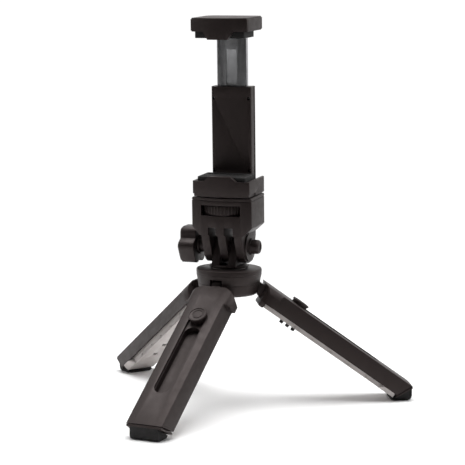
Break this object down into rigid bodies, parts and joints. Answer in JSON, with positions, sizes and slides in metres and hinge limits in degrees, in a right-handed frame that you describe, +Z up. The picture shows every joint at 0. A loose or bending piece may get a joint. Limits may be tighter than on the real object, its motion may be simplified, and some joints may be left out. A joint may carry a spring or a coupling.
{
  "type": "tabletop tripod with phone clamp",
  "caption": "Tabletop tripod with folding telescoping legs, a panning hub, a tilting finger hinge with a side knob, and a sliding spring clamp that grips a phone.",
  "frame": {"origin": "on the ground plane, at the middle of the footprint box; the hub's axis is 21.5 mm from it along +Y", "axes": "+Z up; the front leg points along -Y, the other two legs at 30 and 150 degrees from +X"},
  "size_m": [0.1876, 0.1624, 0.2133],
  "materials": {
    "charcoal_plastic": "satin moulded, warm charcoal",
    "black_plastic": "satin moulded, near black",
    "pale_plastic": "satin moulded, pale warm grey",
    "rubber": "matte black",
    "steel": "zinc plated",
    "brass": "turned"
  },
  "bodies": {
    "hub": {"hub_top": "charcoal_plastic", "hub_base": "charcoal_plastic", "hub_cap": "black_plastic", "hub_screws": "steel", "leg_pins": "steel", "spring_washer": "steel", "friction_washer": "pale_plastic"},
    "pan_base": {"hinge_base": "black_plastic", "centre_bolt": "steel"},
    "head": {"head_block": "black_plastic", "tilt_nut": "black_plastic"},
    "knob": {"tilt_knob": "black_plastic", "tilt_bolt": "steel", "tilt_washer": "steel"},
    "thumbwheel": {"thumbwheel": "black_plastic", "thumb_screw": "steel"},
    "clamp": {"lower_jaw": "charcoal_plastic", "lower_pad": "rubber", "jaw_insert": "brass", "spine": "charcoal_plastic", "spine_cover": "black_plastic", "cover_screws": "steel", "clamp_springs": "steel"},
    "sliding_jaw": {"slide_bar": "steel", "upper_jaw": "charcoal_plastic", "upper_pad": "rubber", "jaw_screws": "steel"},
    "front_leg": {"front_leg_shell": "charcoal_plastic", "front_leg_cover": "pale_plastic", "front_bumpers": "rubber"},
    "front_extension": {"front_inner_leg": "charcoal_plastic", "front_foot": "rubber", "front_button_springs": "steel"},
    "front_button": {"front_lock_button": "charcoal_plastic"},
    "front_latch": {"front_latch": "steel"},
    "right_leg": {"right_leg_shell": "charcoal_plastic", "right_leg_cover": "pale_plastic", "right_bumpers": "rubber"},
    "right_extension": {"right_inner_leg": "charcoal_plastic", "right_foot": "rubber", "right_button_springs": "steel"},
    "right_button": {"right_lock_button": "charcoal_plastic"},
    "right_latch": {"right_latch": "steel"},
    "left_leg": {"left_leg_shell": "charcoal_plastic", "left_leg_cover": "pale_plastic", "left_bumpers": "rubber"},
    "left_extension": {"left_inner_leg": "charcoal_plastic", "left_foot": "rubber", "left_button_springs": "steel"},
    "left_button": {"left_lock_button": "charcoal_plastic"},
    "left_latch": {"left_latch": "steel"}
  },
  "joints": [
    {"name": "pan", "type": "hinge", "parent": "hub", "child": "pan_base", "pos_m": [0, 0.02141, 0.075], "axis": [0, 0, 1], "continuous": true},
    {"name": "tilt", "type": "hinge", "parent": "pan_base", "child": "head", "pos_m": [0, 0.02141, 0.0872], "axis": [0.996, 0.0889, 0], "range_deg": [-62, 52]},
    {"name": "knob_turn", "type": "hinge", "parent": "head", "child": "knob", "pos_m": [-0.02092, 0.01954, 0.0872], "axis": [0.996, 0.0889, 0], "continuous": true},
    {"name": "thumbwheel_turn", "type": "hinge", "parent": "head", "child": "thumbwheel", "pos_m": [0.00022, 0.01892, 0.1081], "axis": [0.0047, -0.0521, 0.9986], "continuous": true},
    {"name": "clamp_swivel", "type": "hinge", "parent": "head", "child": "clamp", "pos_m": [0.00026, 0.01852, 0.11579], "axis": [0.0047, -0.0521, 0.9986], "continuous": true},
    {"name": "jaw_slide", "type": "slide", "parent": "clamp", "child": "sliding_jaw", "axis": [0.0047, -0.0521, 0.9986], "range_m": [-0.017, 0.013], "deforming": ["clamp_springs"]},
    {"name": "front_leg_fold", "type": "hinge", "parent": "hub", "child": "front_leg", "pos_m": [0, 0.00741, 0.067], "axis": [1, 0, 0], "range_deg": [0, 54.7]},
    {"name": "front_leg_extend", "type": "slide", "parent": "front_leg", "child": "front_extension", "axis": [0, -0.8161, -0.5779], "range_m": [0, 0.0492]},
    {"name": "front_button_press", "type": "slide", "parent": "front_extension", "child": "front_button", "axis": [0, 0.5779, -0.8161], "range_m": [0, 0.0012], "stiffness_N_per_m": 300, "springref_m": -0.001},
    {"name": "front_latch_lift", "type": "hinge", "parent": "front_extension", "child": "front_latch", "pos_m": [0, -0.01394, 0.0487], "axis": [-1, 0, 0], "range_deg": [0, 23]},
    {"name": "right_leg_fold", "type": "hinge", "parent": "hub", "child": "right_leg", "pos_m": [0.01212, 0.02841, 0.067], "axis": [-0.5, 0.866, 0], "range_deg": [0, 54.7]},
    {"name": "right_leg_extend", "type": "slide", "parent": "right_leg", "child": "right_extension", "axis": [0.7068, 0.4081, -0.5779], "range_m": [0, 0.0492]},
    {"name": "right_button_press", "type": "slide", "parent": "right_extension", "child": "right_button", "axis": [-0.5004, -0.2889, -0.8161], "range_m": [0, 0.0012], "stiffness_N_per_m": 300, "springref_m": -0.001},
    {"name": "right_latch_lift", "type": "hinge", "parent": "right_extension", "child": "right_latch", "pos_m": [0.03061, 0.03908, 0.0487], "axis": [0.5, -0.866, 0], "range_deg": [0, 23]},
    {"name": "left_leg_fold", "type": "hinge", "parent": "hub", "child": "left_leg", "pos_m": [-0.01212, 0.02841, 0.067], "axis": [-0.5, -0.866, 0], "range_deg": [0, 54.7]},
    {"name": "left_leg_extend", "type": "slide", "parent": "left_leg", "child": "left_extension", "axis": [-0.7068, 0.4081, -0.5779], "range_m": [0, 0.0492]},
    {"name": "left_button_press", "type": "slide", "parent": "left_extension", "child": "left_button", "axis": [0.5004, -0.2889, -0.8161], "range_m": [0, 0.0012], "stiffness_N_per_m": 300, "springref_m": -0.001},
    {"name": "left_latch_lift", "type": "hinge", "parent": "left_extension", "child": "left_latch", "pos_m": [-0.03061, 0.03908, 0.0487], "axis": [0.5, 0.866, 0], "range_deg": [0, 23]}
  ],
  "couplings": [
    {"joint": "front_latch_lift", "follows": "front_button_press", "rad_per_m": 330},
    {"joint": "right_latch_lift", "follows": "right_button_press", "rad_per_m": 330},
    {"joint": "left_latch_lift", "follows": "left_button_press", "rad_per_m": 330}
  ]
}
